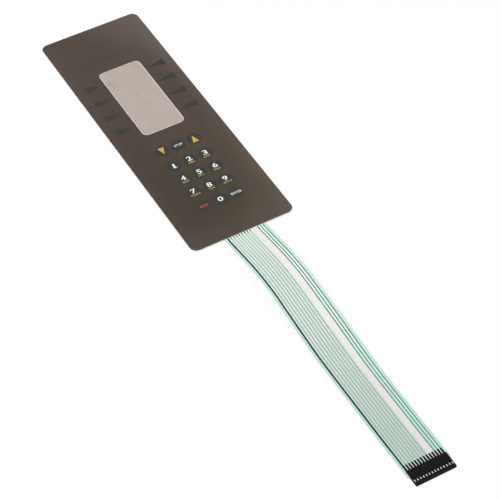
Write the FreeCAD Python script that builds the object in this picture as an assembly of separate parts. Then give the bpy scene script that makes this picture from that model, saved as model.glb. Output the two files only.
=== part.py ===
import FreeCAD, Part
import math
import os

from FreeCAD import Vector

# Membrane keypad: a printed panel of laminated films with a flat tail and a crimped receptacle.
# Millimetres. X runs across the panel, Y towards its window end, Z up from the panel's back face.
# The origin is the centre of the panel's back face.

# Panel outline
panel_width = 96.0
panel_length = 288.0
panel_corner = 6.35

# Layer thicknesses, from the back upwards
liner_thickness = 0.15
rear_adhesive_thickness = 0.25
circuit_thickness = 0.175
spacer_thickness = 0.35
overlay_adhesive_thickness = 0.15
overlay_thickness = 0.25
ink_thickness = 0.03
print_thickness = 0.04
coat_thickness = 0.04
cover_thickness = 0.08

# How far right of the panel's middle the print and the openings lie
print_x = 0.4

# Display window, and how far the layers below reach into it
window_width = 40.4
window_length = 90.4
window_corner = 5.0
window_from_end = 58.3
window_ledge = 0.8

# Round keys: three columns, one row of scroll keys above four rows of digits
key_diameter = 13.3
key_column_pitch = 15.2
key_row_pitch = 17.8
digit_rows = 4
lowest_row_from_tail_end = 41.6
scroll_row_from_tail_end = 115.7
column_count = 3

# Wedge marks of the soft keys beside the window
soft_row_count = 4
soft_row_pitch = 20.4
soft_rows_above_window_middle = 0.7
wedge_base_x = 39.3
wedge_tip_x = 22.8
wedge_height = 8.6
tick_from_edge = 1.4

# Printed frame lines and the marks on the scroll keys
line_width = 0.5
fine_line_width = 0.36
print_gap = 0.02
frame_width = 57.1
frame_corner = 4.0
frame_from_window_end = 42.6
arrow_width = 5.6
arrow_height = 8.4

# Switch cells in the spacer, and the conductive print on both circuits
cell_size = 9.6
soft_cell_width = 11.0
soft_cell_height = 6.0
pad_clearance = 0.8
vent_width = 1.6
track_width = 0.9
track_pitch = 1.8
track_inset = 5.0
column_end_from_tail_end = 20.0

# Tail: fourteen places at the receptacle's pitch, two of them empty
pitch = 2.54
place_count = 14
tail_x = 0.6
shield_place = 0
row_places = range(1, 9)
column_places = range(11, 14)
trace_width = 1.0
film_margin_left = 2.5
film_margin_right = 2.9
row_coat_left = 1.75
row_coat_right = 2.0
column_coat_left = 0.9
column_coat_right = 2.2
cover_left = 0.75
cover_start = 3.0

# Tail route, measured out from the panel's edge along the table
rise_start = 4.0
rise_radius = 45.0
crest_out = 60.5
crest_control_height = 10.3
crest_radius = 193.0
foot_out = 160.0
foot_radius = 475.0
lift_start_out = 236.0
lift_end_out = 257.0
lift_radius = 300.0
coat_gap = 0.9

# Receptacle housing
housing_front_out = 284.8
housing_depth = 13.1
housing_side = 1.15
housing_height = 2.5
housing_floor = 0.42
housing_edge = 0.25
finger_length = 6.0
finger_width = 1.5
finger_root_height = 2.35
finger_tip_height = 1.2
finger_clearance = 0.06
cavity_width = 1.9
cavity_height = 1.62
front_wall = 1.2
pin_hole = 1.0
latch_window_width = 0.95
latch_window_length = 1.9
latch_window_from_front = 4.0
slot_clearance = 0.06
film_seat_depth = 3.7
film_end_clearance = 0.2
cut_margin = 1.0

# Crimp contacts, folded from strip
strip = 0.18
contact_clearance = 0.02
contact_width = 1.6
contact_box_length = 7.6
crimp_length = 2.4
tine_rise = 0.35
tine_clearance = 0.03
spring_drop = 0.42

# Levels of the stack
rear_adhesive_z = liner_thickness
lower_circuit_z = rear_adhesive_z + rear_adhesive_thickness
spacer_z = lower_circuit_z + circuit_thickness
upper_circuit_z = spacer_z + spacer_thickness
overlay_adhesive_z = upper_circuit_z + circuit_thickness
overlay_z = overlay_adhesive_z + overlay_adhesive_thickness
overlay_top_z = overlay_z + overlay_thickness
spacer_core = spacer_thickness - 2 * print_thickness

# Levels in the tail, above the underside of its film
trace_low = circuit_thickness
trace_high = trace_low + print_thickness
coat_high = trace_high + coat_thickness
cover_high = coat_high + cover_thickness

# Places that follow from the sizes above
panel_edge_y = -panel_length / 2
window_y = panel_length / 2 - window_from_end - window_length / 2
upper_frame_top_y = panel_length / 2 - frame_from_window_end
lowest_row_y = panel_edge_y + lowest_row_from_tail_end
scroll_row_y = panel_edge_y + scroll_row_from_tail_end
column_end_y = panel_edge_y + column_end_from_tail_end
soft_rows_y = window_y + soft_rows_above_window_middle
tick_outer_x = panel_width / 2 - tick_from_edge
housing_back_out = housing_front_out - housing_depth
film_end_out = housing_back_out + film_seat_depth - film_end_clearance
coat_end_out = housing_back_out - coat_gap
seat_z = housing_floor + contact_clearance + strip
key_rows_y = [lowest_row_y + row * key_row_pitch for row in range(digit_rows)] + [scroll_row_y]
key_columns_x = [print_x + (column - 1) * key_column_pitch for column in range(column_count)]
soft_rows = [soft_rows_y + (row - (soft_row_count - 1) / 2) * soft_row_pitch for row in range(soft_row_count)]
soft_pad_reach = (wedge_base_x + wedge_tip_x) / 2
soft_columns_x = [print_x - soft_pad_reach, print_x + soft_pad_reach]
across = Vector(1, 0, 0)
upwards = Vector(0, 0, 1)


# Shapes that several pieces share

def tangent_edges(points, radii):
    """Straight runs through the points, joined by tangent arcs at the inner ones."""
    edges = []
    start = points[0]
    for before, corner, after, radius in zip(points, points[1:], points[2:], radii[1:]):
        inwards = (before - corner).normalize()
        outwards = (after - corner).normalize()
        if radius == 0:
            edges.append(Part.makeLine(start, corner))
            start = corner
            continue
        half_angle = inwards.getAngle(outwards) / 2
        reach = radius / math.tan(half_angle)
        bisector = (inwards + outwards).normalize()
        middle = corner + bisector * (radius / math.sin(half_angle) - radius)
        arc_start = corner + inwards * reach
        arc_end = corner + outwards * reach
        edges.append(Part.makeLine(start, arc_start))
        edges.append(Part.Arc(arc_start, middle, arc_end).toShape())
        start = arc_end
    edges.append(Part.makeLine(start, points[-1]))
    return edges


def rounded_sheet(width, length, corner, x, y, z, thickness):
    """A flat sheet with four rounded corners, centred on x and y, standing on z."""
    left = x - width / 2
    right = x + width / 2
    low = y - length / 2
    high = y + length / 2
    corners = [Vector(x, low, z), Vector(right, low, z), Vector(right, high, z)]
    corners += [Vector(left, high, z), Vector(left, low, z), Vector(x, low, z)]
    edges = tangent_edges(corners, [0] + [corner] * 4 + [0])
    return Part.Face(Part.Wire(edges)).extrude(upwards * thickness)


def polygon(points, z, thickness):
    """A flat sheet with straight sides through the points."""
    corners = [Vector(x, y, z) for x, y in points]
    return Part.Face(Part.makePolygon(corners + corners[:1])).extrude(upwards * thickness)


def disc(diameter, x, y, z, thickness):
    """A flat round sheet."""
    return Part.makeCylinder(diameter / 2, thickness, Vector(x, y, z))


def block(x_from, x_to, y_from, y_to, z_from, z_to):
    """A plain block between two corners."""
    return Part.makeBox(x_to - x_from, y_to - y_from, z_to - z_from, Vector(x_from, y_from, z_from))


def line(x_from, y_from, x_to, y_to, width, z, thickness):
    """A printed line along X or Y, with square ends half a width past its points."""
    half = width / 2
    low_x, high_x = sorted((x_from, x_to))
    low_y, high_y = sorted((y_from, y_to))
    return block(low_x - half, high_x + half, low_y - half, high_y + half, z, z + thickness)


def track(points, width, z, thickness):
    """A printed conductor through the points, which turns only square corners."""
    runs = [line(*start, *end, width, z, thickness) for start, end in zip(points, points[1:])]
    return runs[0].multiFuse(runs[1:]).removeSplitter() if len(runs) > 1 else runs[0]


def joined(shapes):
    """Touching shapes fused, the others kept apart, all in one compound."""
    fused = shapes[0].multiFuse(shapes[1:]).removeSplitter()
    return Part.makeCompound(fused.Solids)


def window_opening(z, thickness, ledge):
    """The display opening through one layer, smaller than the printed window by the ledge."""
    width = window_width - 2 * ledge
    length = window_length - 2 * ledge
    return rounded_sheet(width, length, window_corner - ledge, print_x, window_y, z, thickness)


def panel_sheet(z, thickness, ledge=window_ledge):
    """One layer of the panel with its display opening."""
    sheet = rounded_sheet(panel_width, panel_length, panel_corner, 0, 0, z, thickness)
    return sheet.cut(window_opening(z, thickness, ledge))


# Print on the overlay, as fields of colour on its face

def key_positions():
    """Centres of the round keys, row by row from the tail end."""
    return [(x, y) for y in key_rows_y for x in key_columns_x]


def arrow(x, y, point_up):
    """The triangle on a scroll key, printed over its disc."""
    tip = arrow_height / 2 if point_up else -arrow_height / 2
    base = [(x - arrow_width / 2, y - tip), (x + arrow_width / 2, y - tip)]
    return polygon(base + [(x, y + tip)], overlay_top_z + ink_thickness, ink_thickness)


def arrow_marks():
    """Both scroll triangles: down on the left key, up on the right one."""
    down = arrow(key_columns_x[0], scroll_row_y, False)
    up = arrow(key_columns_x[-1], scroll_row_y, True)
    return Part.makeCompound([down, up])


def ink_line(x_from, y_from, x_to, y_to, width):
    """One line of the dark print."""
    return line(x_from, y_from, x_to, y_to, width, overlay_top_z, ink_thickness)


def soft_key_wedges():
    """Dark wedges that point at the display from both sides."""
    wedges = []
    for side in (-1, 1):
        for y in soft_rows:
            base_x = print_x + side * wedge_base_x
            tip = (print_x + side * wedge_tip_x, y)
            base_low, base_high = (base_x, y - wedge_height / 2), (base_x, y + wedge_height / 2)
            wedges.append(polygon([base_low, tip, base_high], overlay_top_z, ink_thickness))
    return wedges


def frame_ring(low_y, high_y):
    """One rounded frame line."""
    middle = (low_y + high_y) / 2
    outer_width = frame_width + line_width
    outer_length = high_y - low_y + line_width
    outer_corner = frame_corner + line_width / 2
    inner_corner = outer_corner - line_width
    inner_width = outer_width - 2 * line_width
    inner_length = outer_length - 2 * line_width
    outer = rounded_sheet(outer_width, outer_length, outer_corner, print_x, middle, overlay_top_z, ink_thickness)
    inner = rounded_sheet(inner_width, inner_length, inner_corner, print_x, middle, overlay_top_z, ink_thickness)
    return outer.cut(inner)


def frame_lines():
    """Frame lines round the display and round the digit keys, open between the keys they run into."""
    rings = frame_ring(scroll_row_y, upper_frame_top_y).fuse(frame_ring(lowest_row_y, scroll_row_y))
    for y in (lowest_row_y, scroll_row_y):
        rings = rings.cut(ink_line(key_columns_x[0], y, key_columns_x[-1], y, 2 * line_width))
    return rings


def links():
    """Fine lines between the keys of each column, which stop just short of the discs."""
    reach = (key_diameter + fine_line_width) / 2 + print_gap
    lines = []
    for x in key_columns_x:
        for low_y, high_y in zip(key_rows_y, key_rows_y[1:digit_rows]):
            lines.append(ink_line(x, low_y + reach, x, high_y - reach, fine_line_width))
    return lines


def ticks():
    """Fine lines from the soft keys' wedges towards the panel's edges."""
    lines = []
    for side in (-1, 1):
        for y in soft_rows:
            inner_x = print_x + side * (wedge_base_x + fine_line_width / 2 + print_gap)
            lines.append(ink_line(side * tick_outer_x, y, inner_x, y, fine_line_width))
    return lines


def dark_print():
    """All that is printed in the dark colour: key discs, wedges, frame lines and fine lines."""
    discs = [disc(key_diameter, x, y, overlay_top_z, ink_thickness) for x, y in key_positions()]
    return joined([frame_lines()] + links() + ticks() + discs + soft_key_wedges())


def overlay_window():
    """The clear field of the overlay film."""
    return window_opening(overlay_z, overlay_thickness, 0)


# Switch layers

def key_rectangles(z, thickness, clearance):
    """A rectangle under every key, each as large as its cell less the clearance on every side."""
    half = cell_size / 2 - clearance
    shapes = [block(x - half, x + half, y - half, y + half, z, z + thickness) for x, y in key_positions()]
    half_width = soft_cell_width / 2 - clearance
    half_height = soft_cell_height / 2 - clearance
    for x in soft_columns_x:
        for y in soft_rows:
            low_y, high_y = y - half_height, y + half_height
            shapes.append(block(x - half_width, x + half_width, low_y, high_y, z, z + thickness))
    return shapes


def place_x(place):
    """Centre of one of the tail's places."""
    return tail_x + (place - (place_count - 1) / 2) * pitch


def lower_contact_print():
    """Pads of every key, a bus along each digit row and the runs from the left to the tail."""
    shapes = key_rectangles(spacer_z, print_thickness, pad_clearance)
    for index, place in enumerate(row_places):
        fan_y = panel_edge_y + track_inset + index * track_pitch
        end = [(place_x(place), fan_y), (place_x(place), panel_edge_y + track_width / 2)]
        if index < soft_row_count:
            y = soft_rows[soft_row_count - 1 - index]
            start_x = soft_columns_x[0]
            run_x = -wedge_base_x - (soft_row_count - index) * track_pitch
        else:
            row = soft_row_count + digit_rows - 1 - index
            y = key_rows_y[row]
            start_x = key_columns_x[-1]
            run_x = -frame_width / 2 - (row + 1) * track_pitch
        route = [(start_x, y), (run_x, y), (run_x, fan_y)]
        shapes.append(track(route + end, track_width, spacer_z, print_thickness))
    return joined(shapes)


def upper_contact_print():
    """Pads on the underside of the upper circuit, and a bus down each column of keys."""
    z = upper_circuit_z - print_thickness
    shapes = key_rectangles(z, print_thickness, pad_clearance)
    for x in key_columns_x:
        shapes.append(track([(x, scroll_row_y), (x, column_end_y)], track_width, z, print_thickness))
    for x in soft_columns_x:
        shapes.append(track([(x, soft_rows[-1]), (x, soft_rows[0])], track_width, z, print_thickness))
    return joined(shapes)


def spacer():
    """The spacer between the prints, with a cell under every key and vents between the cells."""
    z = spacer_z + print_thickness
    openings = key_rectangles(z, spacer_core, 0)
    for x in key_columns_x:
        openings.append(line(x, lowest_row_y, x, scroll_row_y, vent_width, z, spacer_core))
    for x in soft_columns_x:
        openings.append(line(x, soft_rows[0], x, soft_rows[-1], vent_width, z, spacer_core))
    return panel_sheet(z, spacer_core).cut(openings[0].multiFuse(openings[1:]))


# Tail

def tail_route(height):
    """Points and radii of the tail's side view, a height above the underside of its film."""
    route = [(-rise_start, lower_circuit_z, 0), (rise_start, lower_circuit_z, rise_radius)]
    route += [(crest_out, crest_control_height, crest_radius), (foot_out, 0, foot_radius)]
    route += [(lift_start_out, 0, lift_radius), (lift_end_out, seat_z, lift_radius), (film_end_out, seat_z, 0)]
    points = [Vector(0, panel_edge_y - out, z) for out, z, _ in route]
    radii = [radius for _, _, radius in route]
    runs = [(end - start).normalize() for start, end in zip(points, points[1:])]
    normals = [run.cross(across) for run in runs]
    moved = [points[0] + normals[0] * height]
    moved_radii = [0]
    for index in range(1, len(points) - 1):
        before, after = normals[index - 1], normals[index]
        moved.append(points[index] + (before + after) * (height / (1 + before.dot(after))))
        turns_up = runs[index].z > runs[index - 1].z
        moved_radii.append(radii[index] - height if turns_up else radii[index] + height)
    moved.append(points[-1] + normals[-1] * height)
    moved_radii.append(0)
    return moved, moved_radii


def tail_strip(low, high, x_from, x_to, out_from, out_to):
    """A layer of the tail between two heights above its underside and two distances from the panel."""
    lower_edges = tangent_edges(*tail_route(low))
    upper_edges = tangent_edges(*tail_route(high))
    lower_points, upper_points = tail_route(low)[0], tail_route(high)[0]
    closing = [Part.makeLine(lower_points[-1], upper_points[-1]), Part.makeLine(upper_points[0], lower_points[0])]
    profile = Part.Face(Part.Wire(Part.sortEdges(lower_edges + upper_edges + closing)[0]))
    profile.translate(across * x_from)
    strip_shape = profile.extrude(across * (x_to - x_from))
    low_x, high_x = x_from - cut_margin, x_to + cut_margin
    reach = block(low_x, high_x, panel_edge_y - out_to, panel_edge_y - out_from, -cut_margin, crest_control_height)
    return strip_shape.common(reach)


def tine_positions(place):
    """Centres of one contact's two tines, which grip the sides of the trace."""
    reach = (trace_width + strip) / 2
    return [place_x(place) - reach, place_x(place) + reach]


def crimp_y():
    """The middle of the crimps."""
    return housing_back_y() - film_seat_depth / 2


def tine_slots(place):
    """Where one contact's two tines pass through the film."""
    half = strip / 2 + tine_clearance
    half_length = crimp_length / 2 + tine_clearance
    low_y, high_y = crimp_y() - half_length, crimp_y() + half_length
    return [block(x - half, x + half, low_y, high_y, 0, housing_height) for x in tine_positions(place)]


def lower_circuit():
    """The lower film and its tail, cut as one piece."""
    film_left = place_x(0) - film_margin_left
    film_right = place_x(place_count - 1) + film_margin_right
    tail = tail_strip(0, circuit_thickness, film_left, film_right, -rise_start, film_end_out)
    body = panel_sheet(lower_circuit_z, circuit_thickness).fuse(tail).removeSplitter()
    slots = [slot for place in range(place_count) for slot in tine_slots(place)]
    return body.cut(Part.makeCompound(slots))


def traces(places):
    """The printed conductors of one kind along the tail."""
    half = trace_width / 2
    shapes = []
    for place in places:
        x = place_x(place)
        shapes.append(tail_strip(trace_low, trace_high, x - half, x + half, 0, film_end_out))
    return Part.makeCompound(shapes)


def coat(first, last, left, right):
    """The insulating coat that lies over a run of traces."""
    return tail_strip(trace_high, coat_high, place_x(first) - left, place_x(last) + right, 0, coat_end_out)


def tail_cover_film():
    """The clear strip laminated over the row traces and the empty places."""
    x_from = place_x(row_places[0]) - cover_left
    x_to = place_x(column_places[0]) - column_coat_left
    return tail_strip(coat_high, cover_high, x_from, x_to, cover_start, coat_end_out)


# Receptacle

def housing_front_y():
    """The mating face."""
    return panel_edge_y - housing_front_out


def housing_back_y():
    """Where the body ends and the fingers start."""
    return panel_edge_y - housing_back_out


def finger(x):
    """One sloping finger over the film, seen from the side and extruded across."""
    root_y = housing_back_y()
    tip_y = root_y + finger_length
    low_z = seat_z + cover_high + finger_clearance
    corners = [(root_y, low_z), (tip_y, low_z), (tip_y, finger_tip_height), (root_y, finger_root_height)]
    points = [Vector(x - finger_width / 2, y, z) for y, z in corners]
    profile = Part.Face(Part.makePolygon(points + points[:1]))
    return profile.extrude(across * finger_width)


def latch_window(x):
    """The opening in the roof through which a contact's latch is seen."""
    half = latch_window_width / 2
    half_length = latch_window_length / 2
    y = housing_front_y() + latch_window_from_front
    return block(x - half, x + half, y - half_length, y + half_length, housing_floor + strip, housing_height)


def connector_housing():
    """The moulded body: a cavity, a pin hole and a latch window for each place, and a slot for the film."""
    half_width = (place_count - 1) * pitch / 2 + housing_side
    front, back = housing_front_y(), housing_back_y()
    body = block(tail_x - half_width, tail_x + half_width, front, back, 0, housing_height)
    rims = [edge for edge in body.Edges if edge.BoundBox.ZMin > housing_height - housing_edge]
    uprights = [edge for edge in body.Edges if edge.BoundBox.ZLength > housing_height / 2]
    body = body.makeFillet(housing_edge, rims + uprights)
    fingers = [finger(place_x(place)) for place in range(place_count)]
    body = body.multiFuse(fingers)
    cuts = [block(tail_x - 2 * half_width, tail_x + 2 * half_width, back - film_seat_depth, back,
                  seat_z, seat_z + cover_high + slot_clearance)]
    for place in range(place_count):
        x = place_x(place)
        cuts.append(block(x - cavity_width / 2, x + cavity_width / 2, front + front_wall, back,
                          housing_floor, housing_floor + cavity_height))
        hole_z = housing_floor + cavity_height / 2
        cuts.append(block(x - pin_hole / 2, x + pin_hole / 2, front, front + front_wall,
                          hole_z - pin_hole / 2, hole_z + pin_hole / 2))
        cuts.append(latch_window(x))
    return body.cut(Part.makeCompound(cuts)).removeSplitter()


def contact(place):
    """One folded contact: a box round the pin, a spring leaf in it, and a crimp with two tines."""
    x = place_x(place)
    half = contact_width / 2
    floor_z = housing_floor + contact_clearance
    roof_z = housing_floor + cavity_height - contact_clearance
    front = housing_front_y() + front_wall + contact_clearance
    box_end = front + contact_box_length
    box = block(x - half, x + half, front, box_end, floor_z, roof_z)
    bore = block(x - half + strip, x + half - strip, front, box_end, floor_z + strip, roof_z - strip)
    crimp_high = crimp_y() + crimp_length / 2
    plate = block(x - half, x + half, front, crimp_high, floor_z, floor_z + strip)
    top_z = floor_z + strip + trace_high + tine_rise
    tines = []
    for tine_x in tine_positions(place):
        tines.append(block(tine_x - strip / 2, tine_x + strip / 2, crimp_high - crimp_length, crimp_high,
                           floor_z, top_z))
    leaf_half = half - 2 * strip
    leaf = [(box_end, roof_z - strip / 2), (front + contact_box_length / 2, roof_z - spring_drop - strip),
            (front + strip, roof_z - strip - contact_clearance)]
    leaf += [(y, z - strip) for y, z in reversed(leaf)]
    corners = [Vector(x - leaf_half, y, z) for y, z in leaf]
    spring = Part.Face(Part.makePolygon(corners + corners[:1])).extrude(across * (2 * leaf_half))
    return box.cut(bore).multiFuse([plate, spring] + tines).removeSplitter()


# Output

def save(name, shape):
    """Writes one piece."""
    shape.exportStep(os.path.join("parts", name + ".step"))


def main():
    """Builds every piece and writes it."""
    os.makedirs("parts", exist_ok=True)
    save("graphic_overlay", panel_sheet(overlay_z, overlay_thickness, 0))
    save("overlay_window", overlay_window())
    save("dark_print", dark_print())
    save("arrow_marks", arrow_marks())
    save("overlay_adhesive", panel_sheet(overlay_adhesive_z, overlay_adhesive_thickness))
    save("upper_circuit", panel_sheet(upper_circuit_z, circuit_thickness))
    save("upper_contact_print", upper_contact_print())
    save("spacer", spacer())
    save("lower_contact_print", lower_contact_print())
    save("lower_circuit", lower_circuit())
    save("rear_adhesive", panel_sheet(rear_adhesive_z, rear_adhesive_thickness))
    save("release_liner", rounded_sheet(panel_width, panel_length, panel_corner, 0, 0, 0, liner_thickness))
    save("shield_trace", traces([shield_place]))
    save("row_traces", traces(row_places))
    save("column_traces", traces(column_places))
    save("row_coat", coat(shield_place, row_places[-1], row_coat_left, row_coat_right))
    save("column_coat", coat(column_places[0], column_places[-1], column_coat_left, column_coat_right))
    save("tail_cover_film", tail_cover_film())
    save("connector_housing", connector_housing())
    for place in range(place_count):
        save("contact_%02d" % (place + 1), contact(place))


main()
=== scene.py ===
import logging
import math
import string
from dataclasses import dataclass, field
from enum import Enum

import bpy
from mathutils import Matrix, Vector


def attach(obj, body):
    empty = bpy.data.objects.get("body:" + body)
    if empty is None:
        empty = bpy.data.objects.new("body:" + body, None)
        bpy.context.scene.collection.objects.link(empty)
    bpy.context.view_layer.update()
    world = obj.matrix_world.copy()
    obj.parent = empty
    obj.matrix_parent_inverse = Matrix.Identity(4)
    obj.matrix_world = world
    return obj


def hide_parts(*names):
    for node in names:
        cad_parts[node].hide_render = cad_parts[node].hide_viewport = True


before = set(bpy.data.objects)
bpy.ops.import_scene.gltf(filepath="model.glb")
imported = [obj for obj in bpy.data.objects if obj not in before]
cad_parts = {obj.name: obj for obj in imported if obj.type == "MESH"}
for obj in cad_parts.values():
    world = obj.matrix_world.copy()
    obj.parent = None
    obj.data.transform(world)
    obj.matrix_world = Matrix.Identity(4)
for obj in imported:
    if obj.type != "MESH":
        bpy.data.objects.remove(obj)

log = logging.getLogger("keypad")
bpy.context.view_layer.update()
ROOT = "root"
MM = 0.001
CORNER_FACES = 14
MIX_COLOUR, MIX_TINT, MIX_RESULT = 6, 7, 2  # the colour sockets of Blender's Mix node

Pair = tuple[float, float]
Triple = tuple[float, float, float]


class Turn(Enum):
    """The direction in which a finish passes into another colour."""

    ACROSS = (1.0, 0.0, 0.0)
    ALONG = (0.0, 1.0, 0.0)
    DIAGONAL = (1.0, 0.5, 0.0)
    COUNTER = (1.0, -0.5, 0.0)


class Sum(Enum):
    """What a finish reckons with its patterns."""

    SUBTRACT = "SUBTRACT"
    ABSOLUTE = "ABSOLUTE"
    MULTIPLY = "MULTIPLY"
    MAXIMUM = "MAXIMUM"


class Slot(Enum):
    """The record's material slots, one passed with each new piece."""

    OVERLAY_FILM = "overlay_film"
    CLEAR_WINDOW = "clear_window"
    DARK_INK = "dark_ink"
    GOLD_INK = "gold_ink"
    CLEAR_ADHESIVE = "clear_adhesive"
    TAIL_FILM = "tail_film"
    DARK_CONDUCTOR = "dark_conductor"
    TAUPE_CONDUCTOR = "taupe_conductor"
    GREEN_CONDUCTOR = "green_conductor"
    CYAN_COAT = "cyan_coat"
    COVER_FILM = "cover_film"
    BLACK_PLASTIC = "black_plastic"


# Working in Blender

def deselect() -> None:
    """Leaves nothing selected."""
    bpy.ops.object.select_all(action="DESELECT")


def select_only(obj: bpy.types.Object) -> None:
    """Selects one object and makes it the active one.

    Args:
        obj: the object to work on.
    """
    deselect()
    obj.select_set(True)
    bpy.context.view_layer.objects.active = obj


def settle(obj: bpy.types.Object) -> None:
    """Puts the object's place, turn and size into its mesh.

    Args:
        obj: the object to settle.
    """
    select_only(obj)
    bpy.ops.object.transform_apply(location=True, rotation=True, scale=True)


def apply_modifiers(obj: bpy.types.Object) -> None:
    """Applies every modifier in order.

    Args:
        obj: the object to finish.
    """
    select_only(obj)
    for modifier in list(obj.modifiers):
        bpy.ops.object.modifier_apply(modifier=modifier.name)


def round_edges(obj: bpy.types.Object, edge: float, segments: int) -> None:
    """Rounds an object's edges.

    Args:
        obj: the object.
        edge: how far in the rounding starts.
        segments: how many faces it has.
    """
    rounded = obj.modifiers.new("edge", "BEVEL")
    rounded.width = edge * MM
    rounded.segments = segments
    apply_modifiers(obj)


def cut_away(obj: bpy.types.Object, cutter: bpy.types.Object, crossing: bool = False) -> None:
    """Cuts a shape out of an object and throws the cutter away.

    Args:
        obj: the object to cut.
        cutter: what is cut out of it.
        crossing: whether the cutter's own parts run into each other.
    """
    cut = obj.modifiers.new("cut", "BOOLEAN")
    cut.operation = "DIFFERENCE"
    cut.solver = "EXACT"
    cut.use_self = crossing
    cut.object = cutter
    apply_modifiers(obj)
    bpy.data.objects.remove(cutter)


def smooth(obj: bpy.types.Object, degrees: float) -> None:
    """Smooths the shading between faces that meet at a small angle.

    Args:
        obj: the object.
        degrees: the largest angle that is smoothed.
    """
    select_only(obj)
    bpy.ops.object.shade_smooth_by_angle(angle=math.radians(degrees))


def named(obj: bpy.types.Object, name: str) -> bpy.types.Object:
    """Gives an object and its mesh one name.

    Args:
        obj: the object.
        name: its name.

    Returns:
        The object.
    """
    obj.name = name
    obj.data.name = name
    return obj


def join(objects: list[bpy.types.Object], name: str) -> bpy.types.Object:
    """Joins several objects into one.

    Args:
        objects: the objects, of which the first one stays.
        name: the name of the joined piece.

    Returns:
        The joined object.
    """
    select_only(objects[0])
    for obj in objects[1:]:
        obj.select_set(True)
    if len(objects) > 1:
        bpy.ops.object.join()
    return named(objects[0], name)


def copies(obj: bpy.types.Object, count: int, step: float) -> list[bpy.types.Object]:
    """Sets copies of a piece in a row across the part, each with its own mesh.

    Args:
        obj: the piece, which is modelled once.
        count: how many there are in all.
        step: how far apart they are.

    Returns:
        The piece and its copies.
    """
    row = [obj]
    for place in range(1, count):
        select_only(obj)
        bpy.ops.object.duplicate(linked=False)
        copy = bpy.context.object
        copy.location.x = place * step * MM
        settle(copy)
        row.append(copy)
    return row


def block(low: Triple, high: Triple) -> bpy.types.Object:
    """Makes a block between two corners.

    Args:
        low: its low corner.
        high: its high corner.

    Returns:
        The block, settled in place.
    """
    deselect()
    bpy.ops.mesh.primitive_cube_add(size=1, location=(Vector(low) + Vector(high)) / 2 * MM)
    obj = bpy.context.object
    obj.scale = (Vector(high) - Vector(low)) * MM
    settle(obj)
    return obj


def rounded_sheet(name: str, size: Pair, corner: float, middle: Pair, levels: Pair) -> bpy.types.Object:
    """Makes a flat sheet with four rounded corners.

    Args:
        name: the piece's name.
        size: its width and length.
        corner: the corners' radius.
        middle: where its middle is.
        levels: its lower and upper face.

    Returns:
        The sheet, settled in place.
    """
    deselect()
    bpy.ops.mesh.primitive_plane_add(size=MM, location=Vector((*middle, levels[0])) * MM)
    obj = bpy.context.object
    obj.scale = (*size, 1)
    settle(obj)
    rise = (levels[1] - levels[0]) * MM
    bpy.ops.object.mode_set(mode="EDIT")
    bpy.ops.mesh.select_all(action="SELECT")
    bpy.ops.mesh.bevel(offset=corner * MM, segments=CORNER_FACES, affect="VERTICES")
    bpy.ops.mesh.select_all(action="SELECT")
    bpy.ops.mesh.extrude_region_move(TRANSFORM_OT_translate={"value": (0, 0, rise)})
    bpy.ops.mesh.select_all(action="SELECT")
    bpy.ops.mesh.normals_make_consistent(inside=False)
    bpy.ops.object.mode_set(mode="OBJECT")
    return named(obj, name)


# Finishes

def linear(screen_colour: Triple) -> Triple:
    """Turns a colour of 0 to 255, as seen on a screen, into the shader's linear values.

    Args:
        screen_colour: its red, green and blue part.

    Returns:
        The linear colour.
    """
    parts = []
    for part in screen_colour:
        value = part / 255
        parts.append(value / 12.92 if value <= 0.04045 else ((value + 0.055) / 1.055) ** 2.4)
    return (parts[0], parts[1], parts[2])


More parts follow.
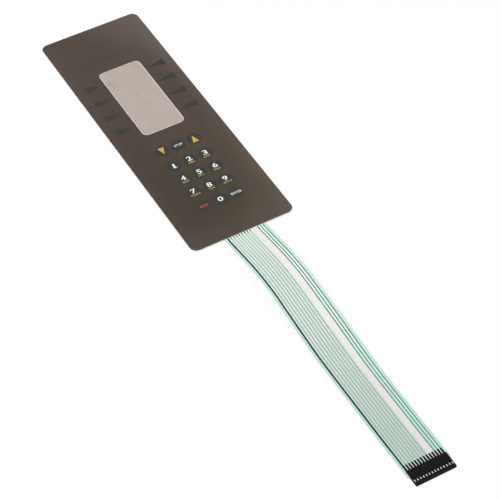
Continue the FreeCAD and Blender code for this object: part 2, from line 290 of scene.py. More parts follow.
@dataclass(frozen=True)
class Web:
    """The node tree of a material or of the world, and the joins that are made in it."""

    tree: bpy.types.NodeTree

    def node(self, kind: str) -> bpy.types.Node:
        """Adds a node of one of Blender's kinds."""
        return self.tree.nodes.new(kind)

    def link(self, start: bpy.types.NodeSocket, end: bpy.types.NodeSocket) -> None:
        """Leads an output to an input."""
        self.tree.links.new(start, end)

    def noise(self, place: bpy.types.NodeSocket, size: float, detail: int) -> bpy.types.NodeSocket:
        """Adds a cloudy pattern.

        Args:
            place: where on the part it is looked up.
            size: how wide its clouds are.
            detail: how often finer clouds are laid over them.

        Returns:
            The pattern.
        """
        pattern = self.node("ShaderNodeTexNoise")
        pattern.inputs["Scale"].default_value = 1 / MM / size
        pattern.inputs["Detail"].default_value = detail
        self.link(place, pattern.inputs["Vector"])
        return pattern.outputs["Fac"]

    def ranged(self, value: bpy.types.NodeSocket, old: Pair, new: Pair,
               eased: bool = False) -> bpy.types.NodeSocket:
        """Carries a value from one range over to another.

        Args:
            value: the value.
            old: where its range starts and ends.
            new: where the new range starts and ends.
            eased: whether it starts and ends softly.

        Returns:
            The new value.
        """
        carried = self.node("ShaderNodeMapRange")
        if eased:
            carried.interpolation_type = "SMOOTHSTEP"
        for name, end in zip(("From Min", "From Max", "To Min", "To Max"), (*old, *new)):
            carried.inputs[name].default_value = end
        self.link(value, carried.inputs["Value"])
        return carried.outputs["Result"]

    def reckoned(self, what: Sum, first: bpy.types.NodeSocket,
                 second: bpy.types.NodeSocket | float = 0.0) -> bpy.types.NodeSocket:
        """Reckons with one or two values.

        Args:
            what: what is reckoned.
            first: the first value.
            second: the second value, or a plain number.

        Returns:
            What comes out.
        """
        result = self.node("ShaderNodeMath")
        result.operation = what.value
        self.link(first, result.inputs[0])
        if isinstance(second, float):
            result.inputs[1].default_value = second
        else:
            self.link(second, result.inputs[1])
        return result.outputs["Value"]

    def tinted(self, colour: bpy.types.NodeSocket, share: bpy.types.NodeSocket,
               tint: Triple) -> bpy.types.NodeSocket:
        """Mixes a plain tint into a colour.

        Args:
            colour: the colour.
            share: how much of the tint there is.
            tint: the tint, in linear values.

        Returns:
            The mixed colour.
        """
        mixed = self.node("ShaderNodeMix")
        mixed.data_type = "RGBA"
        self.link(share, mixed.inputs["Factor"])
        self.link(colour, mixed.inputs[MIX_COLOUR])
        mixed.inputs[MIX_TINT].default_value = (*tint, 1)
        return mixed.outputs[MIX_RESULT]

    def seen_directly(self) -> bpy.types.NodeSocket:
        """Gives 1 for a ray that the camera sees, also through clear film, and 0 for one that carries light."""
        ray = self.node("ShaderNodeLightPath")
        return self.reckoned(Sum.MAXIMUM, ray.outputs["Is Camera Ray"], ray.outputs["Is Transmission Ray"])


@dataclass(frozen=True)
class Shade:
    """A pass into another colour between two places on the part."""

    turn: Turn
    start: float
    end: float
    screen_colour: Triple
    amount: float = 1.0

    def blend(self, web: Web, place: bpy.types.NodeSocket, colour: bpy.types.NodeSocket) -> bpy.types.NodeSocket:
        """Lets a colour pass into this one.

        Args:
            web: the material's nodes.
            place: where on the part the colour is looked up.
            colour: the colour before the pass.

        Returns:
            The blended colour.
        """
        reach = web.node("ShaderNodeVectorMath")
        reach.operation = "DOT_PRODUCT"
        reach.inputs[1].default_value = self.turn.value
        web.link(place, reach.inputs[0])
        ends = (self.start * MM, self.end * MM)
        share = web.ranged(reach.outputs["Value"], ends, (0, self.amount), eased=True)
        return web.tinted(colour, share, linear(self.screen_colour))


@dataclass(frozen=True)
class Finish:
    """A surface finish: its colour, gloss, mottle, grain and how much shows through."""

    name: str
    screen_colour: Triple
    roughness: float = 0.45
    roughness_spread: float = 0.04
    mottle: float = 0.05
    mottle_size: float = 14.0
    mottle_detail: int = 5
    mottle_ends: Pair = (0.3, 0.7)
    grain: float = 0.15
    grain_size: float = 0.35
    grain_detail: int = 3
    grain_depth: float = 0.02
    cover: float = 1.0
    metallic: float = 0.0
    specular: float = 0.5
    shades: tuple[Shade, ...] = ()
    # How dark the painted crease shade is; the wrinkle fields below shape it.
    wrinkle: float = 0.0
    wrinkle_size: float = 45.0
    wrinkle_width: float = 0.03
    wrinkle_break_size: float = 18.0
    wrinkle_breaks: Pair = (0.42, 0.6)

    def build(self) -> bpy.types.Material:
        """Makes the node material once and gives it back after that.

        Returns:
            The material.
        """
        found = bpy.data.materials.get(self.name)
        if found:
            return found
        material = bpy.data.materials.new(self.name)
        material.use_nodes = True
        web = Web(material.node_tree)
        shader = web.tree.nodes["Principled BSDF"]
        place = web.node("ShaderNodeTexCoord").outputs["Object"]
        cloud = web.noise(place, self.mottle_size, self.mottle_detail)
        web.link(self.colour(web, place, cloud), shader.inputs["Base Color"])
        web.link(self.relief(web, place), shader.inputs["Normal"])
        gloss = (self.roughness - self.roughness_spread, self.roughness + self.roughness_spread)
        web.link(web.ranged(cloud, (0, 1), gloss), shader.inputs["Roughness"])
        shader.inputs["Alpha"].default_value = self.cover
        shader.inputs["Metallic"].default_value = self.metallic
        shader.inputs["Specular IOR Level"].default_value = self.specular
        return material

    def colour(self, web: Web, place: bpy.types.NodeSocket, cloud: bpy.types.NodeSocket) -> bpy.types.NodeSocket:
        """Makes the mottled colour with its shades and its painted crease shade.

        Args:
            web: the material's nodes.
            place: where on the part the colour is looked up.
            cloud: the pattern of the mottle.

        Returns:
            The colour.
        """
        ramp = web.node("ShaderNodeValToRGB")
        base = linear(self.screen_colour)
        factors = (1 - self.mottle, 1 + self.mottle)
        for element, factor, end in zip(ramp.color_ramp.elements, factors, self.mottle_ends):
            element.color = (*[min(part * factor, 1) for part in base], 1)
            element.position = end
        web.link(cloud, ramp.inputs["Fac"])
        colour = ramp.outputs["Color"]
        for shade in self.shades:
            colour = shade.blend(web, place, colour)
        return self.creased(web, place, colour) if self.wrinkle else colour

    def relief(self, web: Web, place: bpy.types.NodeSocket) -> bpy.types.NodeSocket:
        """Makes the fine grain.

        Args:
            web: the material's nodes.
            place: where on the part the grain is looked up.

        Returns:
            The grained normal.
        """
        bump = web.node("ShaderNodeBump")
        bump.inputs["Strength"].default_value = self.grain
        bump.inputs["Distance"].default_value = self.grain_depth * MM
        web.link(web.noise(place, self.grain_size, self.grain_detail), bump.inputs["Height"])
        return bump.outputs["Normal"]

    def creased(self, web: Web, place: bpy.types.NodeSocket, colour: bpy.types.NodeSocket) -> bpy.types.NodeSocket:
        """Paints shade along a few soft, curved, broken creases, darkening the colour where the liner's wrinkles
        would be shaded.

        Args:
            web: the material's nodes.
            place: where on the part the creases are looked up.
            colour: the colour before them.

        Returns:
            The creased colour.
        """
        offset = web.reckoned(Sum.SUBTRACT, web.noise(place, self.wrinkle_size, 0), 0.5)
        crease_shade = web.ranged(web.reckoned(Sum.ABSOLUTE, offset), (0, self.wrinkle_width), (self.wrinkle, 0))
        gap = web.ranged(web.noise(place, self.wrinkle_break_size, 1), self.wrinkle_breaks, (0, 1))
        return web.tinted(colour, web.reckoned(Sum.MULTIPLY, crease_shade, gap), (0, 0, 0))


# Painted sheen: this colour lightens the overlay film towards its upper right, its two long edges and its tail
# end, where the lamps' sheen falls.
PAINTED_SHEEN = (150, 140, 130)
OVERLAY_FILM = Finish("overlay film", (71, 59, 51), roughness=0.42, shades=(
    Shade(Turn.ALONG, 60, -144, (71, 61, 36), 0.4),
    # Painted shade: darkens the overlay film towards its lower left, where less sheen falls.
    Shade(Turn.DIAGONAL, 14, -78, (40, 30, 20), 0.42),
    # Painted sheen, lighter towards the upper right, along the two long edges and at the tail end.
    Shade(Turn.DIAGONAL, 50, 105, PAINTED_SHEEN, 0.145),
    Shade(Turn.COUNTER, 60, 90, PAINTED_SHEEN, 0.04),
    Shade(Turn.ACROSS, 33, 48, PAINTED_SHEEN, 0.06),
    Shade(Turn.ACROSS, -34, -48, PAINTED_SHEEN, 0.035),
    Shade(Turn.ALONG, -110, -144, PAINTED_SHEEN, 0.065)))
DARK_INK = Finish("dark ink", (45, 49, 46), roughness=0.42, mottle=0.04)
GOLD_INK = Finish("gold ink", (200, 166, 66), roughness=0.4)
WHITE_INK = Finish("white ink", (240, 240, 238), roughness=0.4, mottle=0.02)
RED_INK = Finish("red ink", (220, 72, 66), roughness=0.4, mottle=0.04)
OCHRE_INK = Finish("ochre ink", (196, 166, 84), roughness=0.4)
CLEAR_WINDOW = Finish("clear window", (205, 196, 190), roughness=0.42, mottle=0.02, cover=0.2)
ADHESIVE = Finish("adhesive", (250, 246, 242), roughness=0.4, mottle=0.02)
CIRCUIT_FILM = Finish("circuit film", (236, 236, 232), roughness=0.4, mottle=0.02)
DUST = Finish("dust", (44, 43, 36), roughness=0.7)
# The liner carries painted shade along soft creases.
LINER = Finish("release liner", (190, 177, 168), roughness=0.6, mottle_size=30.0, wrinkle=0.26)
SILVER_PRINT = Finish("silver print", (160, 158, 150), roughness=0.5)
TAIL_FILM = Finish("tail film", (235, 229, 229), roughness=0.25, mottle=0.01, shades=(
    # Painted shade: darker towards the connector, where less lamp light falls.
    Shade(Turn.ALONG, -190, -415, (222, 216, 213)),
    # Painted light: lighter between the housing's fingers, against the shade that they cast.
    Shade(Turn.ALONG, -408.5, -409.5, (246, 242, 240), 0.8),
    Shade(Turn.ACROSS, -17.9, -18.0, (192, 206, 200)),
    Shade(Turn.ACROSS, 19.4, 19.5, (198, 209, 204))))
SHIELD_INK = Finish("shield ink", (36, 40, 18), shades=(
    # Painted shade: darker towards the connector, where less lamp light falls.
    Shade(Turn.ALONG, -190, -415, (20, 38, 20)),
    Shade(Turn.ALONG, -147.2, -146.8, (20, 26, 14))))
TAUPE_INK = Finish("taupe ink", (192, 189, 170), shades=(
    # Painted shade: darker towards the connector, where less lamp light falls.
    Shade(Turn.ALONG, -160, -205, (175, 174, 155)),
    Shade(Turn.ALONG, -205, -415, (169, 164, 148)),
    Shade(Turn.ALONG, -147.6, -145.6, (104, 110, 64))))
GREEN_INK = Finish("green ink", (98, 149, 124), shades=(Shade(Turn.ALONG, -250, -415, (96, 154, 133)),))
CYAN_COAT = Finish("cyan coat", (208, 235, 230), roughness=0.3, mottle=0.01, shades=(
    # Painted shade: darker towards the connector, where less lamp light falls.
    Shade(Turn.ALONG, -190, -415, (174, 213, 206)),
    Shade(Turn.ALONG, -147.4, -146.2, (234, 250, 239), 0.8),
    # Painted light: lighter between the housing's fingers, against the shade that they cast.
    Shade(Turn.ALONG, -408.5, -409.5, (236, 255, 250), 0.8),
    Shade(Turn.ACROSS, -16.6, -16.7, (155, 217, 207), 0.6)))
PALE_COAT = Finish("pale coat", (238, 247, 244), roughness=0.3, mottle=0.01, shades=(
    # Painted shade: darker towards the connector, where less lamp light falls.
    Shade(Turn.ALONG, -190, -415, (200, 221, 217)),
    # Painted light: lighter between the housing's fingers, against the shade that they cast.
    Shade(Turn.ALONG, -408.5, -409.5, (244, 255, 252), 0.8),
    Shade(Turn.ACROSS, 17.7, 17.8, (171, 212, 201), 0.6)))
COVER_FILM = Finish("cover film", (236, 228, 222), roughness=0.25, mottle=0.01, cover=0.015)
BLACK_PLASTIC = Finish("black plastic", (13, 13, 12), grain=0.3, grain_size=0.5, specular=0.15, shades=(
    # Painted shade: the fingers are darker than the body of the same moulding.
    Shade(Turn.ALONG, -414.4, -414.0, (2, 2, 2)),))
TINNED_STRIP = Finish("tinned strip", (250, 250, 247), roughness=0.35, metallic=0.2)


# What the groups of pieces share

def dress(obj: bpy.types.Object, finish: Finish) -> None:
    """Gives an object its finish in every slot.

    Args:
        obj: the piece.
        finish: what it is finished in.
    """
    material = finish.build()
    if not obj.material_slots:
        obj.data.materials.append(material)
    for slot in obj.material_slots:
        slot.material = material


@dataclass
class SubAssembly:
    """A group of pieces: it dresses CAD nodes and puts new pieces on the root."""

    pieces: list[bpy.types.Object] = field(default_factory=list)

    def dress_node(self, node: str, finish: Finish) -> None:
        """Finishes a CAD node.

        Args:
            node: the node's name.
            finish: its finish.
        """
        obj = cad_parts[node]
        dress(obj, finish)
        self.pieces.append(obj)

    def place(self, obj: bpy.types.Object, finish: Finish, slot: Slot, *nodes: str) -> None:
        """Finishes a new piece and puts it on the root.

        Args:
            obj: the new piece.
            finish: its finish.
            slot: the record's material slot; not used.
            nodes: the CAD nodes it stands for.
        """
        dress(obj, finish)
        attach(obj, ROOT)
        if nodes:
            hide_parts(*nodes)
        self.pieces.append(obj)


@dataclass(frozen=True)
class Sheet:
    """The outline that every film of the panel is cut to, with its display opening."""

    size: Pair = (96.0, 288.0)
    corner: float = 6.35
    window: Pair = (40.4, 90.4)
    window_corner: float = 5.0
    window_middle: Pair = (0.4, 40.5)
    ledge: float = 0.8
    punch_reach: float = 1.0

    def layer(self, name: str, levels: Pair, ledge: float) -> bpy.types.Object:
        """Makes one layer with its display opening.

        Args:
            name: the piece's name.
            levels: its lower and upper face.
            ledge: how far it reaches into the printed window.

        Returns:
            The layer.
        """
        sheet = rounded_sheet(name, self.size, self.corner, (0, 0), levels)
        opening = (self.window[0] - 2 * ledge, self.window[1] - 2 * ledge)
        through = (levels[0] - self.punch_reach, levels[1] + self.punch_reach)
        punch = rounded_sheet("punch", opening, self.window_corner - ledge, self.window_middle, through)
        cut_away(sheet, punch)
        return sheet


@dataclass(frozen=True)
class Places:
    """The row of places for conductors and contacts, which the tail and the receptacle share."""

    count: int = 14
    pitch: float = 2.54
    middle: float = 0.6

    def x(self, place: int) -> float:
        """Gives the middle of one of the places, where the first one from the left is 0."""
        return self.middle + (place - (self.count - 1) / 2) * self.pitch


# Panel

@dataclass(frozen=True)
class Serif:
    """A slab serif, placed from the middle of its digit."""

    right: float
    up: float
    width: float
    height: float


SERIFS = {1: Serif(0.3, -2.25, 3.6, 0.55), 2: Serif(2.0, -1.9, 0.5, 1.1),
          4: Serif(0.75, -2.25, 2.9, 0.5), 7: Serif(-1.95, 1.8, 0.5, 1.5)}
DIGIT_WIDTHS = {0: 4.2, 1: 1.5}
SLIM_DIGITS = (1, 4)
LETTER_COUNTS = {2: 3, 3: 3, 4: 3, 5: 3, 6: 3, 7: 4, 8: 3, 9: 4}
GROUP_WIDTHS = {3: 6.25, 4: 8.6}


@dataclass
class PrintedPanel(SubAssembly):
    """The laminated panel, with the legends that the overlay carries."""

    sheet: Sheet = Sheet()
    overlay_levels: Pair = (1.25, 1.5)
    adhesive_levels: Pair = (1.1, 1.25)
    key_pitch: Pair = (15.2, 17.8)
    print_x: float = 0.4
    lowest_row_y: float = -102.4
    scroll_row: int = 4
    scroll_row_y: float = -28.3
    print_top: float = 1.53
    legend_thickness: float = 0.02
    legend_curve_steps: int = 6
    legend_draft_depth: float = 0.1
    serif_share: float = 0.8
    digit_width: float = 4.0
    digit_height: float = 5.1
    digit_lift: float = 1.4
    spread: float = 0.2
    slim_spread: float = 0.1
    strike_step: float = 0.002
    letters_drop: float = 3.35
    letters_height: float = 2.2
    letters_weight: float = 0.012
    letters_spacing: float = 1.08
    stop_width: float = 7.75
    enter_width: float = 9.75
    back_width: float = 8.0
    word_height: float = 2.5
    word_weight: float = 0.01
    word_spacing: float = 1.12
    crumb_place: Pair = (20.5, -132.1)
    crumb_radius: float = 0.62
    crumb_sink: float = 0.03
    crumb_shape: Triple = (1.0, 0.8, 0.25)
    crumb_faces: tuple[int, int] = (10, 6)
    crumb_smoothing: float = 60.0

    def key_centre(self, column: int, row: int) -> Pair:
        """Finds a key.

        Args:
            column: 0 to 2 from the left.
            row: 0 to 3 from the tail end, or the scroll keys' row.

        Returns:
            The key's centre.
        """
        y = self.scroll_row_y if row == self.scroll_row else self.lowest_row_y + row * self.key_pitch[1]
        return self.print_x + (column - 1) * self.key_pitch[0], y

    def digit_centre(self, digit: int) -> Pair:
        """Finds the centre of a digit's key."""
        return self.key_centre((digit - 1) % 3, 3 - (digit - 1) // 3) if digit else self.key_centre(1, 0)

    def legend(self, text: str, name: str, centre: Pair, size: Pair, weight: float = 0.0,
               spacing: float = 1.0) -> bpy.types.Object:
        """Makes a printed legend as a thin mesh.

        Args:
            text: what it says.
            name: the piece's name.
            centre: where its middle is on the panel.
            size: its width and height.
            weight: how much its strokes are thickened.
            spacing: how far apart its letters stand.

        Returns:
            The mesh object, settled in place.
        """
        deselect()
        bpy.ops.object.text_add(location=(0, 0, 0))
        written = bpy.context.object.data
        written.body = text
        written.align_x = "CENTER"
        written.align_y = "CENTER"
        written.offset = weight
        written.space_character = spacing
        written.resolution_u = self.legend_curve_steps
        written.extrude = self.legend_draft_depth
        bpy.ops.object.convert(target="MESH")
        obj = bpy.context.object
        low = Vector([min(vertex.co[axis] for vertex in obj.data.vertices) for axis in range(3)])
        high = Vector([max(vertex.co[axis] for vertex in obj.data.vertices) for axis in range(3)])
        middle, reach = (low + high) / 2, high - low
        scale = [wanted / now for wanted, now in zip((*size, self.legend_thickness), reach)]
        obj.scale = [factor * MM for factor in scale]
        top = self.print_top + self.legend_thickness / 2
        obj.location = [(at - middle[axis] * scale[axis]) * MM for axis, at in enumerate((*centre, top))]
        settle(obj)
        return named(obj, name)

    def slab(self, centre: Pair, serif: Serif) -> bpy.types.Object:
        """Makes one slab serif of a digit.

        Args:
            centre: where the digit's middle is on the panel.
            serif: its place and size.

        Returns:
            The slab, a little lower than the strokes that it meets.
        """
        x, y = centre[0] + serif.right, centre[1] + serif.up
        top = self.print_top + self.serif_share * self.legend_thickness
        return block((x - serif.width / 2, y - serif.height / 2, self.print_top),
                     (x + serif.width / 2, y + serif.height / 2, top))

    def digit(self, digit: int) -> list[bpy.types.Object]:
        """Makes one wide digit with thick uprights, thin level strokes and slab serifs.

        Args:
            digit: 0 to 9.

        Returns:
            The digit's parts.
        """
        x, y = self.digit_centre(digit)
        y += self.digit_lift if digit in LETTER_COUNTS else 0
        size = (DIGIT_WIDTHS.get(digit, self.digit_width), self.digit_height)
        spread = self.slim_spread if digit in SLIM_DIGITS else self.spread
        parts = []
        for strike, shift in enumerate((0.0, -spread, spread)):
            struck = self.legend(str(digit), "digit", (x + shift, y), size)
            struck.data.transform(Matrix.Translation((0, 0, -self.strike_step * strike * MM)))
            parts.append(struck)
        if digit in SERIFS:
            parts.append(self.slab((x, y), SERIFS[digit]))
        return parts

    def digits(self) -> None:
        """Prints the digits."""
        made = [part for digit in range(10) for part in self.digit(digit)]
        self.place(join(made, "digits"), WHITE_INK, Slot.DARK_INK)

    def letter_groups(self) -> None:
        """Prints the usual telephone letters under the digits from 2 to 9."""
        made = []
        first = 0
        for digit, count in LETTER_COUNTS.items():
            x, y = self.digit_centre(digit)
            letters = string.ascii_uppercase[first:first + count]
            made.append(self.legend(letters, "letters", (x, y - self.letters_drop),
                                    (GROUP_WIDTHS[count], self.letters_height),
                                    self.letters_weight, self.letters_spacing))
            first += count
        self.place(join(made, "letter_groups"), OCHRE_INK, Slot.GOLD_INK)

    def word(self, text: str, name: str, column: int, row: int, width: float) -> bpy.types.Object:
        """Makes the word on one key.

        Args:
            text: what it says.
            name: the piece's name.
            column: the key's column.
            row: the key's row.
            width: how wide the word is.

        Returns:
            The word.
        """
        return self.legend(text, name, self.key_centre(column, row), (width, self.word_height),
                           self.word_weight, self.word_spacing)

    def words(self) -> None:
        """Prints the plain words on the three control keys."""
        stop = self.word("STOP", "stop", 1, self.scroll_row, self.stop_width)
        enter = self.word("ENTER", "enter", 2, 0, self.enter_width)
        self.place(join([stop, enter], "control_words"), WHITE_INK, Slot.DARK_INK)
        back = self.word("BACK", "back_word", 0, 0, self.back_width)
        self.place(back, RED_INK, Slot.DARK_INK)

    def speck(self) -> None:
        """Leaves one crumb of dust on the overlay."""
        deselect()
        place = Vector((*self.crumb_place, self.print_top - self.crumb_sink)) * MM
        around, rings = self.crumb_faces
        bpy.ops.mesh.primitive_uv_sphere_add(segments=around, ring_count=rings, radius=self.crumb_radius * MM,
                                             location=place)
        crumb = bpy.context.object
        crumb.scale = self.crumb_shape
        settle(crumb)
        bpy.ops.object.mode_set(mode="EDIT")
        bpy.ops.mesh.select_all(action="SELECT")
        bpy.ops.mesh.bisect(plane_co=place, plane_no=(0, 0, 1), clear_inner=True, use_fill=True)
        bpy.ops.object.mode_set(mode="OBJECT")
        smooth(crumb, self.crumb_smoothing)
        self.place(named(crumb, "dust_crumb"), DUST, Slot.DARK_INK)

    def films(self) -> None:
        """Makes the overlay film, its clear field and the adhesive under them."""
        sheet = self.sheet
        overlay = sheet.layer("overlay_film", self.overlay_levels, 0)
        self.place(overlay, OVERLAY_FILM, Slot.OVERLAY_FILM, "graphic_overlay")
        clear = rounded_sheet("clear_field", sheet.window, sheet.window_corner, sheet.window_middle,
                              self.overlay_levels)
        self.place(clear, CLEAR_WINDOW, Slot.CLEAR_WINDOW, "overlay_window")
        adhesive = sheet.layer("laminating_adhesive", self.adhesive_levels, sheet.ledge)
        self.place(adhesive, ADHESIVE, Slot.CLEAR_ADHESIVE, "overlay_adhesive")

    def build(self) -> None:
        """Makes the films, dresses the other layers and prints the legends."""
        self.films()
        for node, finish in (("dark_print", DARK_INK), ("arrow_marks", GOLD_INK), ("rear_adhesive", ADHESIVE),
                             ("upper_circuit", CIRCUIT_FILM), ("spacer", CIRCUIT_FILM),
                             ("upper_contact_print", SILVER_PRINT), ("lower_contact_print", SILVER_PRINT),
                             ("release_liner", LINER)):
            self.dress_node(node, finish)
        self.digits()
        self.letter_groups()
        self.words()
        self.speck()


# Tail

@dataclass
class Tail(SubAssembly):
    """The flat film tail with its printed conductors, coats and cover.

    The route gives corners of the film's underside: how far out, how high, and how wide the bend is there.
    Levels are heights above that underside, and edges reach out from the middles of the outer places.
    """

    sheet: Sheet = Sheet()
    sheet_levels: Pair = (0.4, 0.575)
    places: Places = Places()
    panel_edge_y: float = -144.0
    step: float = 2.0
    route: tuple[Triple, ...] = (
        (-4.0, 0.4, 0.0), (4.0, 0.4, 45.0), (60.5, 10.3, 193.0), (160.0, 0.0, 475.0),
        (236.0, 0.0, 300.0), (257.0, 0.62, 300.0), (275.2, 0.62, 0.0))
    film_levels: Pair = (0, 0.175)
    film_edges: Pair = (2.75, 2.9)
    shield_places: range = range(0, 1)
    row_places: range = range(1, 9)
    column_places: range = range(11, 14)
    conductor_levels: Pair = (0.175, 0.215)
    conductor_width: float = 1.2
    shield_width: float = 1.5
    coat_levels: Pair = (0.18, 0.205)
    coat_end: float = 270.8
    row_coat_edges: Pair = (2.15, 2.0)
    column_coat_edges: Pair = (0.9, 2.4)
    cover_levels: Pair = (0.255, 0.335)
    cover_edges: Pair = (0.75, 0.9)
    cover_start: float = 3.0
    smoothing: float = 30.0
    lean: float = 0.086
    lean_out: float = 129.4
    lean_reach: float = 47.0

    def underside(self, out: float) -> Pair:
        """Follows the film's underside.

        Args:
            out: distance from the panel's edge.

        Returns:
            Height above the table and slope at that distance.
        """
        for (x0, z0, _), (x1, z1, radius), (x2, z2, _) in zip(self.route, self.route[1:], self.route[2:]):
            before, after = math.atan2(z1 - z0, x1 - x0), math.atan2(z2 - z1, x2 - x1)
            reach = abs(radius * math.tan((after - before) / 2))
            start, end = x1 - reach * math.cos(before), x1 + reach * math.cos(after)
            if out < start:
                return z1 + math.tan(before) * (out - x1), math.tan(before)
            if out <= end:
                side = 1 if after > before else -1
                middle_x = start - side * radius * math.sin(before)
                middle_z = z1 - reach * math.sin(before) + side * radius * math.cos(before)
                offset = out - middle_x
                rise = math.sqrt(radius * radius - offset * offset)
                return middle_z - side * rise, side * offset / rise
        (x1, z1, _), (x2, z2, _) = self.route[-2:]
        slope = (z2 - z1) / (x2 - x1)
        return z1 + slope * (out - x1), slope

    def sides(self, first: int, last: int, edges: Pair) -> Pair:
        """Gives the left and right side of a strip over some places.

        Args:
            first: the first place.
            last: the last place.
            edges: how far the strip reaches out from the middles of these two.

        Returns:
            Its left and right side.
        """
        return self.places.x(first) - edges[0], self.places.x(last) + edges[1]

    def film_sides(self) -> Pair:
        """Gives the film's left and right side."""
        return self.sides(0, self.places.count - 1, self.film_edges)

    def lift(self, x: float, out: float, height: float) -> float:
        """Tells how far the film's small twist lifts it at a place.

        Args:
            x: where across the tail.
            out: distance from the panel's edge.
            height: the film's height above the table before the twist.

        Returns:
            The lift, up on the right and down on the left, where the film goes down to the table at most.
        """
        twist = self.lean * math.exp(-((out - self.lean_out) / self.lean_reach) ** 2)
        most = height / (self.places.middle - self.film_sides()[0])
        return min(twist, most) * (x - self.places.middle)

    def flat_strip(self, sides: Pair, ends: Pair) -> bpy.types.Object:
        """Makes a flat strip, with its cross rows where all the layers have theirs.

        Args:
            sides: its left and right side.
            ends: where it starts and ends, out from the panel.

        Returns:
            The strip.
        """
        deselect()
        first = math.floor(ends[0] / self.step)
        rows = math.ceil(ends[1] / self.step) - first
        columns = max(1, round((sides[1] - sides[0]) / self.places.pitch))
        bpy.ops.mesh.primitive_grid_add(x_subdivisions=columns, y_subdivisions=rows, size=1)
        obj = bpy.context.object
        for vertex in obj.data.vertices:
            x = sides[0] + (vertex.co.x + 0.5) * (sides[1] - sides[0])
            row = first + round((0.5 - vertex.co.y) * rows)
            out = min(max(row * self.step, ends[0]), ends[1])
            vertex.co = Vector((x, self.panel_edge_y - out, 0)) * MM
        return obj

    def laid(self, obj: bpy.types.Object, name: str, levels: Pair) -> bpy.types.Object:
        """Lays a flat strip along the film's route and makes it as thick as its layer.

        Args:
            obj: the flat strip.
            name: the piece's name.
            levels: its lower and upper face above the film's underside.

        Returns:
            The strip.
        """
        for vertex in obj.data.vertices:
            x, out = vertex.co.x / MM, self.panel_edge_y - vertex.co.y / MM
            height, slope = self.underside(out)
            steep = math.hypot(1, slope)
            y = self.panel_edge_y - out + levels[0] * slope / steep
            vertex.co = Vector((x, y, height + levels[0] / steep + self.lift(x, out, height))) * MM
        solid = obj.modifiers.new("thickness", "SOLIDIFY")
        solid.thickness = (levels[1] - levels[0]) * MM
        solid.offset = 1
        apply_modifiers(obj)
        smooth(obj, self.smoothing)
        return named(obj, name)

    def traces(self, name: str, places: range, width: float) -> bpy.types.Object:
        """Makes one flat conductor, copies it to the places of its kind and lays each one on the film.

        Args:
            name: the piece's name.
            places: which of the tail's places they take.
            width: how wide each one is.

        Returns:
            The joined conductors.
        """
        sides = self.sides(places[0], places[0], (width / 2, width / 2))
        flat = self.flat_strip(sides, (0, self.route[-1][0]))
        row = copies(flat, len(places), self.places.pitch)
        return join([self.laid(trace, name, self.conductor_levels) for trace in row], name)

    def film(self) -> None:
        """Makes the lower film: its panel part and the tail that runs out of it."""
        sheet = self.sheet.layer("tail_film", self.sheet_levels, self.sheet.ledge)
        flat = self.flat_strip(self.film_sides(), (0, self.route[-1][0]))
        tail = self.laid(flat, "tail_strip", self.film_levels)
        self.place(join([tail, sheet], "tail_film"), TAIL_FILM, Slot.TAIL_FILM, "lower_circuit")

    def conductors(self) -> None:
        """Prints the conductors."""
        shield = self.traces("shield_conductor", self.shield_places, self.shield_width)
        self.place(shield, SHIELD_INK, Slot.DARK_CONDUCTOR, "shield_trace")
        rows = self.traces("row_conductors", self.row_places, self.conductor_width)
        self.place(rows, TAUPE_INK, Slot.TAUPE_CONDUCTOR, "row_traces")
        columns = self.traces("column_conductors", self.column_places, self.conductor_width)
        self.place(columns, GREEN_INK, Slot.GREEN_CONDUCTOR, "column_traces")

    def coats(self) -> None:
        """Lays the two coats and the clear cover over the conductors."""
        first_row, last_row = self.row_places[0], self.row_places[-1]
        first_column, last_column = self.column_places[0], self.column_places[-1]
        ends = (0, self.coat_end)
        row = self.flat_strip(self.sides(self.shield_places[0], last_row, self.row_coat_edges), ends)
        self.place(self.laid(row, "row_coating", self.coat_levels), CYAN_COAT, Slot.CYAN_COAT, "row_coat")
        column = self.flat_strip(self.sides(first_column, last_column, self.column_coat_edges), ends)
        self.place(self.laid(column, "column_coating", self.coat_levels), PALE_COAT, Slot.CYAN_COAT, "column_coat")
        left = self.places.x(first_row) - self.cover_edges[0]
        right = self.places.x(first_column) - self.cover_edges[1]
        cover = self.flat_strip((left, right), (self.cover_start, self.coat_end))
        self.place(self.laid(cover, "cover_strip", self.cover_levels), COVER_FILM, Slot.COVER_FILM,
                   "tail_cover_film")

    def build(self) -> None:
        """Makes the film, the conductors, the coats and the cover."""
        self.film()
        self.conductors()
        self.coats()


# Receptacle

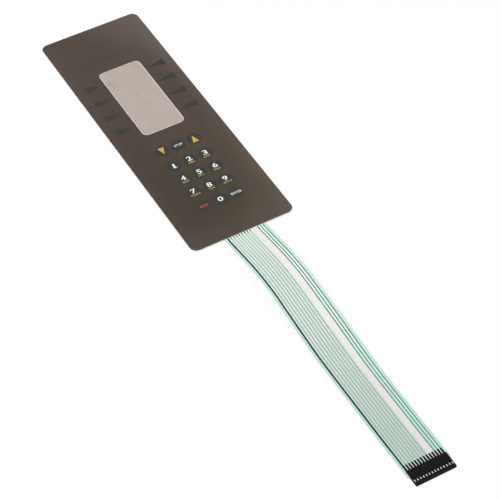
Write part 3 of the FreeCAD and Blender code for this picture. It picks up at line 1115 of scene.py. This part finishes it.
@dataclass
class Receptacle(SubAssembly):
    """The moulded housing and its contacts.

    A finger and a latch window have a width and a length. A cavity and the film's seat have a width or a
    depth, and then their lower and upper face. A finger's heights are those of its underside, tip and root.
    """

    places: Places = Places()
    front_y: float = -428.8
    depth: float = 14.6
    side: float = 1.15
    height: float = 2.5
    edge: float = 0.28
    edge_faces: int = 3
    smoothing: float = 35.0
    finger: Pair = (1.58, 5.8)
    finger_heights: Triple = (1.02, 1.15, 1.6)
    finger_overlap: float = 0.3
    finger_edge: float = 0.08
    finger_edge_faces: int = 2
    window: Pair = (1.05, 2.05)
    window_from_front: float = 4.0
    window_top: float = 3.0
    cavity: Triple = (1.9, 0.42, 2.04)
    front_wall: float = 1.2
    pin_hole: float = 1.0
    cut_overlap: float = 0.2
    cut_reach: float = 1.0
    seat: Triple = (5.2, 0.62, 1.02)

    def back_y(self) -> float:
        """Gives the back of the housing's body."""
        return self.front_y + self.depth

    def fingers(self) -> list[bpy.types.Object]:
        """Makes one sloping finger over the film and copies it to every place.

        Returns:
            The fingers.
        """
        back = self.back_y()
        low, tip, root = self.finger_heights
        x, half = self.places.x(0), self.finger[0] / 2
        finger = block((x - half, back - self.finger_overlap, low), (x + half, back + self.finger[1], root))
        for vertex in finger.data.vertices:
            if vertex.co.z > (low + root) / 2 * MM and vertex.co.y > back * MM:
                vertex.co.z = tip * MM
        round_edges(finger, self.finger_edge, self.finger_edge_faces)
        return copies(finger, self.places.count, self.places.pitch)

    def openings(self) -> bpy.types.Object:
        """Makes all that is cut from the body: cavities, pin holes, latch windows and the film's slot.

        Returns:
            The joined cutters.
        """
        back, wall = self.back_y(), self.front_y + self.front_wall
        latch_y = self.front_y + self.window_from_front
        width, low, high = self.cavity
        middle, hole = (low + high) / 2, self.pin_hole / 2
        across, along = self.window[0] / 2, self.window[1] / 2
        x = self.places.x(0)
        cavity = block((x - width / 2, wall, low), (x + width / 2, back + self.cut_reach, high))
        pin = block((x - hole, self.front_y - self.cut_reach, middle - hole),
                    (x + hole, wall + self.cut_overlap, middle + hole))
        latch = block((x - across, latch_y - along, middle), (x + across, latch_y + along, self.window_top))
        made = copies(join([cavity, pin, latch], "place"), self.places.count, self.places.pitch)
        seat, seat_low, seat_high = self.seat
        half = self.places.count * self.places.pitch
        made.append(block((-half, back - seat, seat_low), (half, back + self.cut_reach, seat_high)))
        return join(made, "openings")

    def housing(self) -> None:
        """Moulds the housing."""
        half = (self.places.count - 1) * self.places.pitch / 2 + self.side
        middle = self.places.middle
        body = block((middle - half, self.front_y, 0), (middle + half, self.back_y(), self.height))
        round_edges(body, self.edge, self.edge_faces)
        cut_away(body, self.openings(), crossing=True)
        smooth(body, self.smoothing)
        whole = join([body, *self.fingers()], "receptacle_housing")
        self.place(whole, BLACK_PLASTIC, Slot.BLACK_PLASTIC, "connector_housing")

    def build(self) -> None:
        """Moulds the housing and dresses the contacts."""
        self.housing()
        for place in range(self.places.count):
            self.dress_node("contact_%02d" % (place + 1), TINNED_STRIP)


# Studio

@dataclass(frozen=True)
class Lamp:
    """A soft square lamp that looks at the panel."""

    name: str
    place: Triple
    power: float
    size: float = 1.2

    def hang(self) -> None:
        """Hangs the lamp."""
        deselect()
        bpy.ops.object.light_add(type="AREA", location=self.place)
        obj = bpy.context.object
        obj.name = self.name
        obj.data.energy = self.power
        obj.data.size = self.size
        obj.rotation_euler = (-Vector(self.place)).to_track_quat("-Z", "Y").to_euler()


@dataclass
class Studio:
    """The floor, the soft light and the camera."""

    floor_size: float = 6.0
    floor_gap: float = 0.0002
    floor_paleness: float = 0.92
    floor_roughness: float = 0.9
    floor_glow: float = 0.86
    room_light: float = 0.45
    lamps: tuple[Lamp, ...] = (Lamp("key light", (-1.2, 0.3, 1.6), 26), Lamp("fill light", (0.9, -0.9, 1.5), 12))
    camera_place: Triple = (-0.52181, -1.09563, 1.17026)
    camera_turn: Triple = (42.3027, 0.6538, -29.6747)
    lens: float = 140.03
    sensor: float = 36.0
    sight: float = 20.0

    def floor_material(self) -> bpy.types.Material:
        """Makes the pale floor, which keeps the object's shadow.

        Returns:
            The material.
        """
        material = bpy.data.materials.new("pale floor")
        material.use_nodes = True
        web = Web(material.node_tree)
        shader = web.tree.nodes["Principled BSDF"]
        shader.inputs["Base Color"].default_value = (*[self.floor_paleness] * 3, 1)
        shader.inputs["Roughness"].default_value = self.floor_roughness
        glow = web.node("ShaderNodeEmission")
        glow.inputs["Color"].default_value = (1, 1, 1, 1)
        glow.inputs["Strength"].default_value = 1
        mix = web.node("ShaderNodeMixShader")
        web.link(web.reckoned(Sum.MULTIPLY, web.seen_directly(), self.floor_glow), mix.inputs["Fac"])
        web.link(shader.outputs["BSDF"], mix.inputs[1])
        web.link(glow.outputs["Emission"], mix.inputs[2])
        web.link(mix.outputs["Shader"], web.tree.nodes["Material Output"].inputs["Surface"])
        return material

    def floor(self) -> None:
        """Lays the floor just under the part."""
        deselect()
        bpy.ops.mesh.primitive_plane_add(size=self.floor_size, location=(0, 0, -self.floor_gap))
        obj = bpy.context.object
        obj.name = "floor"
        settle(obj)
        obj.data.materials.append(self.floor_material())

    def world(self) -> None:
        """Fills the room with soft light, and shows the camera a white room."""
        world = bpy.data.worlds.new("studio")
        world.use_nodes = True
        bpy.context.scene.world = world
        web = Web(world.node_tree)
        room = web.tree.nodes["Background"]
        room.inputs["Color"].default_value = (1, 1, 1, 1)
        strength = web.ranged(web.seen_directly(), (0, 1), (self.room_light, 1))
        web.link(strength, room.inputs["Strength"])

    def camera(self) -> None:
        """Sets the camera where the photo was taken from."""
        deselect()
        bpy.ops.object.camera_add(location=self.camera_place)
        obj = bpy.context.object
        obj.rotation_euler = [math.radians(angle) for angle in self.camera_turn]
        obj.data.sensor_width = self.sensor
        obj.data.lens = self.lens
        obj.data.clip_end = self.sight
        bpy.context.scene.camera = obj

    def build(self) -> None:
        """Sets up the whole studio."""
        self.camera()
        self.floor()
        self.world()
        for lamp in self.lamps:
            lamp.hang()
        bpy.context.scene.view_settings.view_transform = "Standard"


def main() -> None:
    """Builds the studio and the keypad, and reports each piece."""
    logging.basicConfig(level=logging.INFO, format="%(name)s: %(message)s")
    Studio().build()
    for part in (PrintedPanel(), Tail(), Receptacle()):
        part.build()
        for piece in part.pieces:
            log.info("%s: %s, %d faces", type(part).__name__, piece.name, len(piece.data.polygons))


if __name__ == "__main__":
    main()
